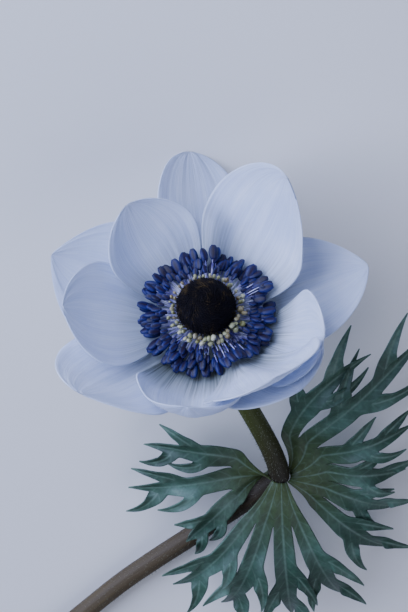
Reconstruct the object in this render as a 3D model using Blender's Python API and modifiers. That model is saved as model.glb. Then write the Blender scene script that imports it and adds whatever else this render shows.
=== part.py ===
"""A cut anemone flower lying on a table.

The stem lies down, the head is held up by its lowest tepals and by the collar of cut leaves
(the bracts) part way along the stem. Lengths are millimetres until place() makes them metres.
The head has a frame of its own: z along the flower's axis, azimuth 90 towards the table.
"""
import math
import random

import bpy
from mathutils import Matrix, Vector
from mathutils.bvhtree import BVHTree
from mathutils.geometry import interpolate_bezier

MM = 0.001
NAME = "anemone flower"

# the head's attitude: its axis leans from upright towards -Y, and a little sideways
AXIS_TILT = 52.0
AXIS_LEAN = -2.0
HEAD_TURN = (Matrix.Rotation(math.pi, 4, "Z") @ Matrix.Rotation(math.radians(-AXIS_TILT), 4, "X")
             @ Matrix.Rotation(math.radians(AXIS_LEAN), 4, "Y"))

# tepals, from the one furthest back to the one furthest forward: azimuth, level on the receptacle,
# length, width, rise at the foot, rise at the tip, how late it curls, cup, roll, point, widest
# place, bend, twist (angles in degrees)
TEPALS = {
    "tepal_outer_right": (15, -1.2, 38.5, 30, 8, 25, 1.4, 23, 2, 0.7, 1.05, 1, -1),
    "tepal_outer_left": (157, -0.6, 38.5, 32.5, 9, 27, 1.3, 17, -6, 0.8, 1.25, 5, -2),
    "tepal_outer_upper_left": (219, -1.2, 40, 32.5, 9, 56, 1.4, 12, 3, 0.55, 1.7, 6, 14),
    "tepal_outer_low": (94, -0.6, 43, 23.5, 8, 5, 1.6, 31, 10, 0.5, 1.4, 3, 13),
    "tepal_outer_upper_right": (313, -0.6, 34.5, 30, 9, 58, 1.3, 27, -1, 0.65, 1.6, -4, -3),
    "tepal_inner_left": (183, 0.6, 35, 29, 9, 54, 1.3, 24, -3, 0.6, 1.65, 4, 4),
    "tepal_inner_right": (336, 0.6, 34, 28.5, 9, 83, 2, 36, 5, 0.65, 2, 0, 12),
    "tepal_inner_low_left": (128, 1.2, 32.5, 26.5, 9, 60, 1.3, 32, 1, 0.6, 1.45, 0, 4),
    "tepal_inner_low": (52, 0.6, 41, 37, 10, 79, 1.3, 31, -9, 0.62, 1.3, 4, -22),
    "tepal_inner_upper": (262, 0.6, 38, 34, 8, 112, 2.4, 64, 1, 0.55, 1.55, 2, 0),
    "tepal_inner_upper_right": (302, 1.2, 39, 33.5, 8, 90, 1.3, 18, -7, 0.75, 2.35, 2, 4),
}
TEPAL_ROWS, TEPAL_COLUMNS = 13, 9
TIP_CROWDING = 1.35        # over 1, the rows stand closer together near the tip
TEPAL_THICK = 0.5
FOOT_RADIUS = 4.5          # where a tepal leaves the receptacle
CLAW_HALF_WIDTH, TIP_HALF_WIDTH = 2.2, 0.35
CLEARANCE = 1.15           # between the middles of two tepals
PUSH_REACH, PUSH_EDGE, PUSH_ROUNDS = 14.0, 1.6, 40

# receptacle and carpel head: (radius, height on the flower's axis)
RECEPTACLE = ((0, -3.4), (2.4, -3.4), (3.7, -2.4), (4.1, -1.4), (4.1, 6.2), (3.6, 6.6), (0, 6.6))
CARPEL_HEAD = ((0, 7.1), (4.0, 7.1), (6.4, 8.2), (7.6, 9.9), (7.45, 11.6), (6.8, 13.3),
               (5.6, 14.9), (3.8, 16.1), (1.9, 16.7), (0, 16.9))

# stamens: how many, first one's place, reach, height of the anther, foot height, filament and
# anther radius, anther length
STAMEN_ROWS = {
    "outer": (16, 0.42, 16.4, 6.0, 4.0, 0.22, 1.0, 3.0),
    "middle": (16, 0.0, 13.0, 8.4, 4.8, 0.22, 0.95, 2.7),
    "inner": (8, 0.25, 9.9, 8.3, 5.5, 0.22, 0.6, 1.3),
}
STAMEN_LIFT = 2.1          # an anther's middle above the tepal under it
STAMEN_STRAY = 0.03        # radians round the axis
REACH_STRAY = 0.5
ANTHER_OUTLINE = (0.75, 1.0, 0.8, 0.3)     # thickness along the anther

# stem, in table coordinates; the head's centre stands over the origin. It runs from the head to the
# node where the bracts stand, bends, comes down to rest on the table, and ends where it was cut
STEM_NODE = Vector((-20.1, 59.2, 11.8))
STEM_REST = Vector((28.4, 105.2, 3.05))
STEM_CUT = Vector((50.0, 126.0, 3.05))
WAY_INTO_NODE = Vector((-0.12, 0.93, -0.30))
WAY_OUT_OF_NODE = Vector((0.49, 0.82, -0.30))
STEM_HANDLES = (18, 16, 14, 18)          # how far each bend's pull reaches
STEM_RADII = (2.4, 2.9, 2.85, 2.8)       # at the head, at the node, where it rests, at the cut

# bracts: which way the foot stands off the stem, then lobes as (heading, reach, tip height, arch, bend)
BRACTS = {
    "bract_left": ((0.97, -0.18, 0.10), ((33, 36, 10, 3, 32), (3, 44, 4, 3, 26), (-30, 40, 7, 4, 52))),
    "bract_far": ((0.05, 0.25, 1.0), ((115, 52, 1, 5, -6), (94, 56, 1, 6, 4), (72, 54, 1, 7, 2),
                                      (53, 50, 8, 5, 0))),
    "bract_right": ((-0.95, -0.05, 0.15), ((262, 50, 19, 4, -52), (236, 60, 16, 6, -12),
                                           (210, 40, 12, 5, -16), (187, 36, 7, 4, -26),
                                           (163, 38, 3, 3, -24), (140, 46, 1, 4, -10))),
}
BRACT_THICK = 0.7
COLLAR_RADIUS = 3.75       # where a bract leaves the stem
COLLAR_AXIS = Vector((0.12, 0.93, -0.28))
COLLAR_HALF_SPAN = 42.0    # how far round the stem a foot reaches to each side
FAN_RADIUS = 13.0          # where the foot opens into lobes
FAN_RINGS = 4
FAN_LIFT = 4.9
FAN_MARGIN = 8.0           # how far the fan's edges turn past the outer lobes
LOBE_ROWS = 9
LOBE_WIDTH = 6.2
WIDEST = 0.35              # how far along a lobe its full width comes
TAPER = 2.0                # a higher number keeps a lobe broad nearer its tip
LOBE_TIP_HALF = 0.3
SIDE_LOBES = ((3, 1), (4, -1), (6, 1))              # row and side of the parent
SIDE_ROWS = 4
SIDE_TURN, SIDE_BEND = math.radians(36), math.radians(-22)
SIDE_REACH, SIDE_WIDTH = 0.36, 3.2
SIDE_DROP, SIDE_ARCH = 3.0, 0.6
LOWEST_TIP = 0.4           # a side lobe's tip comes no lower than this
TABLE_GAP = 0.02           # under a piece that lies on the table


def clear_scene():
    for obj in list(bpy.data.objects):
        bpy.data.objects.remove(obj, do_unlink=True)


def material(name, colour, roughness):
    mat = bpy.data.materials.new(name)
    mat.use_nodes = True
    shader = mat.node_tree.nodes["Principled BSDF"]
    shader.inputs["Base Color"].default_value = (*colour, 1.0)
    shader.inputs["Roughness"].default_value = roughness
    return mat


def add_object(name, data, mat):
    data.materials.append(mat)
    obj = bpy.data.objects.new(name, data)
    bpy.data.collections[NAME].objects.link(obj)
    return obj


def solid_sheet(name, mesh, thick, mat):
    """A thin solid from an open sheet, half its thickness to each side."""
    for face in mesh.polygons:
        face.use_smooth = True
    obj = add_object(name, mesh, mat)
    solidify = obj.modifiers.new("thickness", "SOLIDIFY")
    solidify.thickness = thick * MM
    solidify.offset = 0.0
    return obj


# ------------------------------------------------------------------ tepals

def tepal_grid(azimuth, level, length, width, rise, rise_tip, late, cup, roll, point, low, bend, twist):
    """Rows of points from foot to tip, each row across the tepal's cupped section."""
    foot = math.radians(azimuth)
    middle = Vector((FOOT_RADIUS * math.cos(foot), FOOT_RADIUS * math.sin(foot), level))
    section_radius = width / 2 / math.radians(cup)
    rows, before, last = [], None, 0.0
    for i in range(TEPAL_ROWS):
        v = 1 - (1 - i / (TEPAL_ROWS - 1)) ** TIP_CROWDING
        climb = math.radians(rise + (rise_tip - rise) * v ** late)
        turn = math.radians(azimuth + bend * v)
        along = Vector((math.cos(climb) * math.cos(turn), math.cos(climb) * math.sin(turn), math.sin(climb)))
        if before is not None:
            middle = middle + (along + before) * (length * (v - last) / 2)
        before, last = along, v
        across = Vector((-math.sin(turn), math.cos(turn), 0))
        front = along.cross(across)
        lean = math.radians(roll + twist * v)
        across, front = (across * math.cos(lean) + front * math.sin(lean),
                         front * math.cos(lean) - across * math.sin(lean))
        profile = max(0.0, math.sin(math.pi * v ** low)) ** point
        half = max(width / 2 * profile, CLAW_HALF_WIDTH * (1 - v) ** 2, TIP_HALF_WIDTH)
        row = []
        for j in range(TEPAL_COLUMNS):
            arc = (2 * j / (TEPAL_COLUMNS - 1) - 1) * half / section_radius
            row.append(middle + across * (section_radius * math.sin(arc))
                       + front * (section_radius * (1 - math.cos(arc))))
        rows.append(row)
    return rows


def grid_faces(rows, columns):
    return [(i * columns + j, (i + 1) * columns + j, (i + 1) * columns + j + 1, i * columns + j + 1)
            for i in range(rows - 1) for j in range(columns - 1)]


def grid_tree(grid):
    points = [p for row in grid for p in row]
    return BVHTree.FromPolygons(points, grid_faces(len(grid), len(grid[0])))


def push_off(point, tree, sign):
    """How far a point must move to stand clear on one side of a sheet, and that sheet's face."""
    hit, normal, face, _ = tree.find_nearest(point, PUSH_REACH)
    if hit is None:
        return None
    away = point - hit
    side = away.dot(normal) * sign
    if (away - normal * side * sign).length > PUSH_EDGE or side > CLEARANCE:
        return None
    return normal * sign * (CLEARANCE - side), face


def lay_over(grid, behind):
    """Move a tepal forward until it stands clear of every tepal behind it."""
    rows, columns = len(grid), len(grid[0])
    others = [(grid_tree(g), [p for row in g for p in row]) for g in behind]
    for _ in range(PUSH_ROUNDS):
        moves = [[Vector() for _ in range(columns)] for _ in range(rows)]
        own = grid_tree(grid)
        for tree, points in others:
            for i in range(rows):
                for j in range(columns):
                    push = push_off(grid[i][j], tree, 1)
                    if push and push[0].length > moves[i][j].length:
                        moves[i][j] = push[0]
            for point in points:
                push = push_off(point, own, -1)
                if not push:
                    continue
                i, j = divmod(push[1], columns - 1)
                for a, b in ((i, j), (i + 1, j), (i + 1, j + 1), (i, j + 1)):
                    if push[0].length > moves[a][b].length:
                        moves[a][b] = -push[0]
        if not any(m.length > 0.01 for row in moves for m in row):
            break
        moves = spread(spread(moves))
        grid = [[p + m * 0.7 for p, m in zip(prow, mrow)] for prow, mrow in zip(grid, moves)]
    return grid


def spread(moves):
    """Share each move with its neighbours, so a sheet bows instead of creasing."""
    rows, columns = len(moves), len(moves[0])
    shared = []
    for i in range(rows):
        line = []
        for j in range(columns):
            near = [moves[a][b] for a in (i - 1, i, i + 1) for b in (j - 1, j, j + 1)
                    if 0 <= a < rows and 0 <= b < columns]
            mean = sum(near, Vector()) / len(near)
            line.append(mean if mean.length > moves[i][j].length else moves[i][j].lerp(mean, 0.3))
        shared.append(line)
    return shared


def tepal_grids():
    grids = {}
    for name, shape in TEPALS.items():
        grids[name] = lay_over(tepal_grid(*shape), list(grids.values()))
    return grids


def build_tepals(grids, place, mat):
    for name, grid in grids.items():
        mesh = bpy.data.meshes.new(name)
        points = [place(p) for row in grid for p in row]
        mesh.from_pydata(points, [], grid_faces(len(grid), len(grid[0])))
        solid_sheet(name, mesh, TEPAL_THICK, mat)


# ------------------------------------------------------------------ middle of the flower

def turned(name, profile, steps, place, mat):
    """A body of revolution on the flower's axis."""
    mesh = bpy.data.meshes.new(name)
    points = [Vector((0, 0, profile[0][1])), Vector((0, 0, profile[-1][1]))]
    rings = profile[1:-1]
    for radius, height in rings:
        for k in range(steps):
            angle = 2 * math.pi * k / steps
            points.append(Vector((radius * math.cos(angle), radius * math.sin(angle), height)))
    faces = []
    for k in range(steps):
        here, after = 2 + k, 2 + (k + 1) % steps
        faces.append((0, after, here))
        for r in range(len(rings) - 1):
            low, high = r * steps, (r + 1) * steps
            faces.append((here + low, after + low, after + high, here + high))
        top = (len(rings) - 1) * steps
        faces.append((1, here + top, after + top))
    mesh.from_pydata([place(p) for p in points], [], faces)
    for face in mesh.polygons:
        face.use_smooth = True
    return add_object(name, mesh, mat)


def tube(name, points, radii, mat, resolution=1):
    curve = bpy.data.curves.new(name, "CURVE")
    curve.dimensions = "3D"
    curve.bevel_depth = 1.0
    curve.bevel_resolution = resolution
    curve.use_fill_caps = True
    spline = curve.splines.new("POLY")
    spline.points.add(len(points) - 1)
    for knot, point, radius in zip(spline.points, points, radii):
        knot.co = (*point, 1.0)
        knot.radius = radius * MM
    return add_object(name, curve, mat)


def surface_height(trees, x, y):
    """Height of the front-most tepal at a place, or None where there is none."""
    top = None
    for tree in trees:
        hit = tree.ray_cast(Vector((x, y, 60.0)), Vector((0, 0, -1)))[0]
        if hit is not None and (top is None or hit.z > top):
            top = hit.z
    return top


def stamen_line(angle, reach, height, foot, anther_long, trees):
    """Points from the receptacle out to the anther's end, kept above the tepals."""
    start, out = FOOT_RADIUS + 0.25, reach - anther_long / 2
    stops = [start, start + (out - start) * 0.35, start + (out - start) * 0.7, out,
             out + anther_long * 0.15, out + anther_long * 0.5, out + anther_long * 0.85, out + anther_long]
    under = [surface_height(trees, r * math.cos(angle), r * math.sin(angle)) for r in stops[2:]]
    under = max([h for h in under if h is not None], default=0.0)
    height = max(height, under + STAMEN_LIFT)
    line = []
    for r in stops:
        share = min(1.0, (r - start) / (out - start))
        line.append(Vector((r * math.cos(angle), r * math.sin(angle),
                            foot + (height - foot) * math.sin(share * math.pi / 2))))
    return line


def build_stamens(grids, place, mats):
    rng = random.Random(7)
    trees = [grid_tree(g) for g in grids.values()]
    for row, (count, phase, reach, height, foot, thin, thick, anther_long) in STAMEN_ROWS.items():
        for k in range(count):
            angle = 2 * math.pi * (k + phase) / count + rng.uniform(-STAMEN_STRAY, STAMEN_STRAY)
            far = reach + rng.uniform(-REACH_STRAY, REACH_STRAY)
            line = stamen_line(angle, far, height, foot, anther_long, trees)
            radii = [thin] * 4 + [thick * share for share in ANTHER_OUTLINE]
            tube(f"stamen_{row}_{k + 1}", [place(p) for p in line], radii,
                 mats["inner" if row == "inner" else "outer"])


# ------------------------------------------------------------------ stem and bracts

def share_out(stops, values, count):
    """Values that run evenly from each stop to the next."""
    shared = []
    for i in range(count):
        k = max(n for n in range(len(stops) - 1) if i >= stops[n])
        share = (i - stops[k]) / (stops[k + 1] - stops[k])
        shared.append(values[k] + (values[k + 1] - values[k]) * share)
    return shared


def build_stem(head, place, mat):
    top = head @ Vector((0, 0, RECEPTACLE[0][1] - 0.3))
    down = (HEAD_TURN @ Vector((0, 0, -1))).normalized()
    into, out_of = WAY_INTO_NODE.normalized(), WAY_OUT_OF_NODE.normalized()
    along_table = (STEM_CUT - STEM_REST).normalized()
    leave, reach, depart, arrive = STEM_HANDLES
    upper = interpolate_bezier(top, top + down * leave, STEM_NODE - into * reach, STEM_NODE, 16)
    lower = interpolate_bezier(STEM_NODE, STEM_NODE + out_of * depart, STEM_REST - along_table * arrive,
                               STEM_REST, 16)
    last = [STEM_REST.lerp(STEM_CUT, t / 3) for t in (1, 2, 3)]
    points = upper + lower[1:] + last
    stops = (0, len(upper) - 1, len(upper) + len(lower) - 2, len(points) - 1)
    radii = share_out(stops, STEM_RADII, len(points))
    return tube("stem", [place(p) for p in points], radii, mat, resolution=4)


class Leaf:
    """A cut leaf grown as ribbons that branch from one another, lying on the table where it reaches it."""

    def __init__(self):
        self.points, self.faces = [], []

    def add(self, point):
        self.points.append(Vector((point.x, point.y, max(point.z, BRACT_THICK / 2 + TABLE_GAP))))
        return len(self.points) - 1

    def ribbon(self, left, right, heading, bend, reach, tip_height, arch, width, rows, sides):
        """Grow a lobe from the edge left-right; it turns by bend as the height runs to tip_height."""
        middle = (self.points[left] + self.points[right]) / 2
        first = (self.points[left] - self.points[right]).length
        start_height = middle.z
        edges, headings = [(left, right)], [heading]
        for i in range(1, rows + 1):
            v = i / rows
            turn = heading + bend * v
            way = Vector((math.cos(turn), math.sin(turn), 0))
            middle = middle + way * (reach / rows)
            middle.z = start_height + (tip_height - start_height) * v ** 1.5 + arch * math.sin(math.pi * v)
            broad = first + (width - first) * min(1, v / WIDEST)
            half = max(broad / 2 * (1 - v ** TAPER), LOBE_TIP_HALF)
            side = Vector((-way.y, way.x, 0)) * half
            edges.append((self.add(middle + side), self.add(middle - side)))
            headings.append(turn)
        for (l0, r0), (l1, r1) in zip(edges, edges[1:]):
            self.faces.append((l0, r0, r1, l1))
        for row, hand in sides:
            (l0, r0), (l1, r1) = edges[row], edges[row + 1]
            base = (l0, l1) if hand > 0 else (r1, r0)
            level = (self.points[base[0]].z + self.points[base[1]].z) / 2
            self.ribbon(*base, headings[row] + SIDE_TURN * hand, SIDE_BEND * hand, reach * SIDE_REACH,
                        max(level - SIDE_DROP, LOWEST_TIP), SIDE_ARCH, SIDE_WIDTH, SIDE_ROWS, ())

    def mesh(self, name, place):
        mesh = bpy.data.meshes.new(name)
        mesh.from_pydata([place(p) for p in self.points], [], self.faces)
        return mesh


def fan_turns(lobes):
    """Headings of the fan's edge points: its two margins, and half way between neighbouring lobes."""
    headings = [lobe[0] for lobe in lobes]
    between = [(a + b) / 2 for a, b in zip(headings, headings[1:])]
    return [headings[0] + FAN_MARGIN, *between, headings[-1] - FAN_MARGIN]


def build_bract(name, foot_way, lobes, place, mat):
    """A collar strip round part of the stem, opening into one lobe after another."""
    leaf = Leaf()
    axis = COLLAR_AXIS.normalized()
    middle = Vector(foot_way).normalized()
    middle = (middle - axis * middle.dot(axis)).normalized()
    side = axis.cross(middle)
    if max(side.x, side.z) > 0.5:
        side = -side
    turns = fan_turns(lobes)
    rings = []
    for ring in range(FAN_RINGS):
        share = ring / (FAN_RINGS - 1)
        line = []
        for k, turn in enumerate(turns):
            around = math.radians(COLLAR_HALF_SPAN) * (1 - 2 * k / len(lobes))
            foot = STEM_NODE + (middle * math.cos(around) + side * math.sin(around)) * COLLAR_RADIUS
            fan = STEM_NODE + Matrix.Rotation(math.radians(turn), 3, "Z") @ Vector((FAN_RADIUS, 0, 0))
            fan.z += middle.z * FAN_LIFT
            line.append(leaf.add(foot.lerp(fan, share) + middle * math.sin(share * math.pi)))
        rings.append(line)
    for low, high in zip(rings, rings[1:]):
        leaf.faces += [(low[k], low[k + 1], high[k + 1], high[k]) for k in range(len(lobes))]
    for k, (heading, reach, tip, arch, bend) in enumerate(lobes):
        leaf.ribbon(rings[-1][k], rings[-1][k + 1], math.radians(heading), math.radians(bend),
                    reach - FAN_RADIUS, tip, arch, LOBE_WIDTH, LOBE_ROWS, SIDE_LOBES)
    solid_sheet(name, leaf.mesh(name, place), BRACT_THICK, mat)


# ------------------------------------------------------------------ whole flower

def settle():
    """Put the origin under the middle of the flower's box, on the table."""
    graph = bpy.context.evaluated_depsgraph_get()
    low, high = Vector((9, 9, 9)), Vector((-9, -9, -9))
    for obj in bpy.data.collections[NAME].objects:
        mesh = obj.evaluated_get(graph).to_mesh()
        for vertex in mesh.vertices:
            low = Vector(map(min, low, vertex.co))
            high = Vector(map(max, high, vertex.co))
    shift = Matrix.Translation(Vector((-(low.x + high.x) / 2, -(low.y + high.y) / 2, -low.z)))
    for obj in bpy.data.collections[NAME].objects:
        obj.data.transform(shift)


def build():
    clear_scene()
    bpy.context.scene.collection.children.link(bpy.data.collections.new(NAME))
    green = material("stem green", (0.14, 0.17, 0.04), 0.6)
    leafy = material("bract grey green", (0.10, 0.17, 0.14), 0.65)
    white = material("tepal white", (0.62, 0.68, 0.88), 0.55)
    dark = material("carpel black", (0.02, 0.015, 0.025), 0.8)
    navy = material("anther navy", (0.03, 0.035, 0.12), 0.6)
    cream = material("inner stamen cream", (0.62, 0.60, 0.42), 0.6)

    grids = tepal_grids()
    lowest = min((HEAD_TURN @ p).z for grid in grids.values() for row in grid for p in row)
    head = Matrix.Translation(Vector((0, 0, TEPAL_THICK / 2 + TABLE_GAP - lowest))) @ HEAD_TURN

    def place_head(point):
        return (head @ point) * MM

    def place(point):
        return point * MM

    build_tepals(grids, place_head, white)
    turned("receptacle", RECEPTACLE, 24, place_head, green)
    turned("carpel_head", CARPEL_HEAD, 24, place_head, dark)
    build_stamens(grids, place_head, {"outer": navy, "inner": cream})
    build_stem(head, place, green)
    for name, (foot_way, lobes) in BRACTS.items():
        build_bract(name, foot_way, lobes, place, leafy)
    settle()


build()
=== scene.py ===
# %% [markdown]
# # A cut anemone, lying on a table
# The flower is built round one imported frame: plain solids that already have the right size and place.
# Each step below makes one kind of piece finer than its plain solid: tepals (an anemone's petals),
# the dark carpel head, the ring of stamens, the stem, and the collar of deeply cut leaves.

import math
import random

import bpy
import numpy as np
from mathutils import Matrix, Vector
from mathutils.bvhtree import BVHTree
from mathutils.geometry import interpolate_bezier


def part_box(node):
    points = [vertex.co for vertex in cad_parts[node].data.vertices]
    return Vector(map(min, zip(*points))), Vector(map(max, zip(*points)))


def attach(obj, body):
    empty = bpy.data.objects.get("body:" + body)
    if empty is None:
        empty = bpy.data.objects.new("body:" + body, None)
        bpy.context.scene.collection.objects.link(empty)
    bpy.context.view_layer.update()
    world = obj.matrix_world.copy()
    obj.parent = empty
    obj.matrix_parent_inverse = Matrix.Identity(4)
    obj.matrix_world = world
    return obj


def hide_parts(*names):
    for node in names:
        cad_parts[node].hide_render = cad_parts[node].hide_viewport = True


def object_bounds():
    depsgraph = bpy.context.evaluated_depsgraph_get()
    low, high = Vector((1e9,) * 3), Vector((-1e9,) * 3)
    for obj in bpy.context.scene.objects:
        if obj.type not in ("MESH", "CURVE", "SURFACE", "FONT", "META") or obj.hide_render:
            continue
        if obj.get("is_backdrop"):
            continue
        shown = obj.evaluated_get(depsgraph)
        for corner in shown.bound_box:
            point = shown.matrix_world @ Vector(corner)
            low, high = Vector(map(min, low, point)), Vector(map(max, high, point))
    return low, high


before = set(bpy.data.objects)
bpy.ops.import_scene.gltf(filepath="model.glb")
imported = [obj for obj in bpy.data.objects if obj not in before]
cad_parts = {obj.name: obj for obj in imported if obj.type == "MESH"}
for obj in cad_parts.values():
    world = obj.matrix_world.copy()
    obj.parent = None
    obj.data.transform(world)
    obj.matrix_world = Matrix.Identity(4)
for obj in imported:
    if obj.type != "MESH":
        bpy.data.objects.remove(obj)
CAD_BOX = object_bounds()
MM = 0.001
print("the packed flower measures", [round(s / MM, 1) for s in CAD_BOX[1] - CAD_BOX[0]], "mm")

# %% [markdown]
# ## Small helpers
# Colours are given as the hex codes a paint chart would use, and turned to the linear numbers that
# light is computed with. One function adds any node, to a material or to a Geometry Nodes tree.


# %% Colour and node helpers
def colour(code):
    """Linear RGBA from a hex code such as C5D0F0."""
    parts = [int(code[i:i + 2], 16) / 255 for i in (0, 2, 4)]
    return tuple(c / 12.92 if c <= 0.04045 else ((c + 0.055) / 1.055) ** 2.4 for c in parts) + (1.0,)


def texture_scale(size):
    """The Scale that makes a pattern on Object coordinates this many millimetres across."""
    return 1 / (size * MM)


def result(source):
    """A node's first output that is in use. Anything else is passed on as it is."""
    if isinstance(source, bpy.types.Node):
        return next(socket for socket in source.outputs if socket.enabled)
    return source


def add_node(tree, kind, inputs=None, stops=(), **settings):
    """Adds a node. An input is a value, a socket or a node; a ramp's stop is a place and a hex code."""
    made = tree.nodes.new(kind)
    for key, value in settings.items():
        setattr(made, key, value)
    for number, (place, code) in enumerate(stops):
        if number == len(made.color_ramp.elements):
            made.color_ramp.elements.new(place)
        made.color_ramp.elements[number].position = place
        made.color_ramp.elements[number].color = colour(code)
    for key, value in (inputs or {}).items():
        value = result(value)
        if isinstance(value, bpy.types.NodeSocket):
            tree.links.new(value, made.inputs[key])
        else:
            made.inputs[key].default_value = value
    return made


def new_material(name, **values):
    """A material with one Principled shader, its plain values set on the shader's own sockets."""
    made = bpy.data.materials.new(name)
    made.use_nodes = True
    tree = made.node_tree
    shader = tree.nodes["Principled BSDF"]
    for key, value in values.items():
        shader.inputs[key.replace("_", " ")].default_value = value
    return made, tree, shader


def plug(tree, shader, base, bump=None):
    """Gives the shader its colour, and its relief where there is one."""
    tree.links.new(result(base), shader.inputs["Base Color"])
    if bump:
        tree.links.new(result(bump), shader.inputs["Normal"])


# %% Piece helpers
def placed(name, data):
    """A new object that is in the scene."""
    made = bpy.data.objects.new(name, data)
    bpy.context.scene.collection.objects.link(made)
    return made


def show(name, mesh, material, stands_for):
    """Links a mesh as a finished piece that rides on the flower and stands for its plain solids."""
    piece = placed(name, mesh)
    if material:
        mesh.materials.clear()
        mesh.materials.append(material)
    mesh.shade_smooth()
    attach(piece, "root")
    if stands_for:
        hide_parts(*stands_for)
    return piece


def mesh_from(name, points, faces):
    """A mesh from points in metres, and faces that list them by number."""
    mesh = bpy.data.meshes.new(name)
    mesh.from_pydata([tuple(p) for p in points], [], faces)
    return mesh


def mark(mesh, label, values):
    """Stores a number for each point, which a material reads by its label."""
    mesh.attributes.new(label, "FLOAT", "POINT").data.foreach_set("value", values)


def bake(holder, name):
    """The plain mesh that an object's modifiers make; the holder is then thrown away."""
    graph = bpy.context.evaluated_depsgraph_get()
    mesh = bpy.data.meshes.new_from_object(holder.evaluated_get(graph), depsgraph=graph)
    mesh.name = name
    bpy.data.objects.remove(holder)
    return mesh


def hold(data):
    """A passing object that carries data while its modifiers run."""
    return placed("holder", data)


# %% [markdown]
# ## Where the head is
# The head leans forward and a little sideways, so it gets a frame of its own: z along the flower's
# axis, azimuth 90 towards the table. The carpel head is a body of revolution on that axis, so the
# head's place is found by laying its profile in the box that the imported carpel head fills.

# %% The head's own frame
AXIS_TILT, AXIS_LEAN = 52.0, -2.0
HEAD_TURN = (Matrix.Rotation(math.pi, 4, "Z") @ Matrix.Rotation(math.radians(-AXIS_TILT), 4, "X")
             @ Matrix.Rotation(math.radians(AXIS_LEAN), 4, "Y"))
CARPEL_HEAD = ((0, 7.1), (4.0, 7.1), (6.4, 8.2), (7.6, 9.9), (7.45, 11.6), (6.8, 13.3),
               (5.6, 14.9), (3.8, 16.1), (1.9, 16.7), (0, 16.9))
RECEPTACLE = ((0, -3.4), (2.4, -3.4), (3.7, -2.4), (4.1, -1.4), (4.1, 6.2), (3.6, 6.6), (0, 6.6))


def ring_points(profile, steps):
    """Points of a body of revolution, ring by ring up its profile."""
    return [Vector((r * math.cos(2 * math.pi * k / steps), r * math.sin(2 * math.pi * k / steps), z))
            for r, z in profile for k in range(steps)]


spread_out = [HEAD_TURN @ p for p in ring_points(CARPEL_HEAD, 24)]
middle = Vector([(min(p[i] for p in spread_out) + max(p[i] for p in spread_out)) / 2 for i in range(3)])
low, high = (Vector(c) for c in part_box("carpel_head"))
HEAD_PLACE = (low + high) / 2 / MM - middle
HEAD = Matrix.Translation(HEAD_PLACE) @ HEAD_TURN
print("the head's foot is at", [round(c, 1) for c in HEAD_PLACE], "mm")


def in_head(point):
    """From the head's frame in millimetres to the table's in metres."""
    return (HEAD @ point) * MM


# %% [markdown]
# ## The tepals' shape
# A tepal is a cupped sheet. Walking from its foot to its tip, the sheet climbs, turns and rolls, and
# its half width follows a sine that is squeezed towards the tip. Eleven sets of sizes make eleven
# different tepals from one function. Each is then laid over the ones behind it: where it would cut
# into one, it is pushed forward until it stands clear, as real tepals press on each other.

# %% Tepal sizes
# azimuth, level on the receptacle, length, width, rise at the foot, rise at the tip, how late it
# curls, cup, roll, point, widest place, bend, twist
TEPALS = {
    "tepal_outer_right": (15, -1.2, 38.5, 30, 8, 25, 1.4, 23, 2, 0.7, 1.05, 1, -1),
    "tepal_outer_left": (157, -0.6, 38.5, 32.5, 9, 27, 1.3, 17, -6, 0.8, 1.25, 5, -2),
    "tepal_outer_upper_left": (219, -1.2, 40, 32.5, 9, 56, 1.4, 12, 3, 0.55, 1.7, 6, 14),
    "tepal_outer_low": (94, -0.6, 43, 23.5, 8, 5, 1.6, 31, 10, 0.5, 1.4, 3, 13),
    "tepal_outer_upper_right": (313, -0.6, 34.5, 30, 9, 58, 1.3, 27, -1, 0.65, 1.6, -4, -3),
    "tepal_inner_left": (183, 0.6, 35, 29, 9, 54, 1.3, 24, -3, 0.6, 1.65, 4, 4),
    "tepal_inner_right": (336, 0.6, 34, 28.5, 9, 83, 2, 36, 5, 0.65, 2, 0, 12),
    "tepal_inner_low_left": (128, 1.2, 32.5, 26.5, 9, 60, 1.3, 32, 1, 0.6, 1.45, 0, 4),
    "tepal_inner_low": (52, 0.6, 41, 37, 10, 79, 1.3, 31, -9, 0.62, 1.3, 4, -22),
    "tepal_inner_upper": (262, 0.6, 38, 34, 8, 112, 2.4, 64, 1, 0.55, 1.55, 2, 0),
    "tepal_inner_upper_right": (302, 1.2, 39, 33.5, 8, 90, 1.3, 18, -7, 0.75, 2.35, 2, 4),
}
ROWS, COLUMNS = 13, 9
TIP_CROWDING = 1.35
FOOT_RADIUS = 4.5
CLAW_HALF_WIDTH, TIP_HALF_WIDTH = 2.2, 0.35
CLEARANCE = 1.15
PUSH_REACH, PUSH_EDGE, PUSH_ROUNDS = 14.0, 1.6, 40


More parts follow.
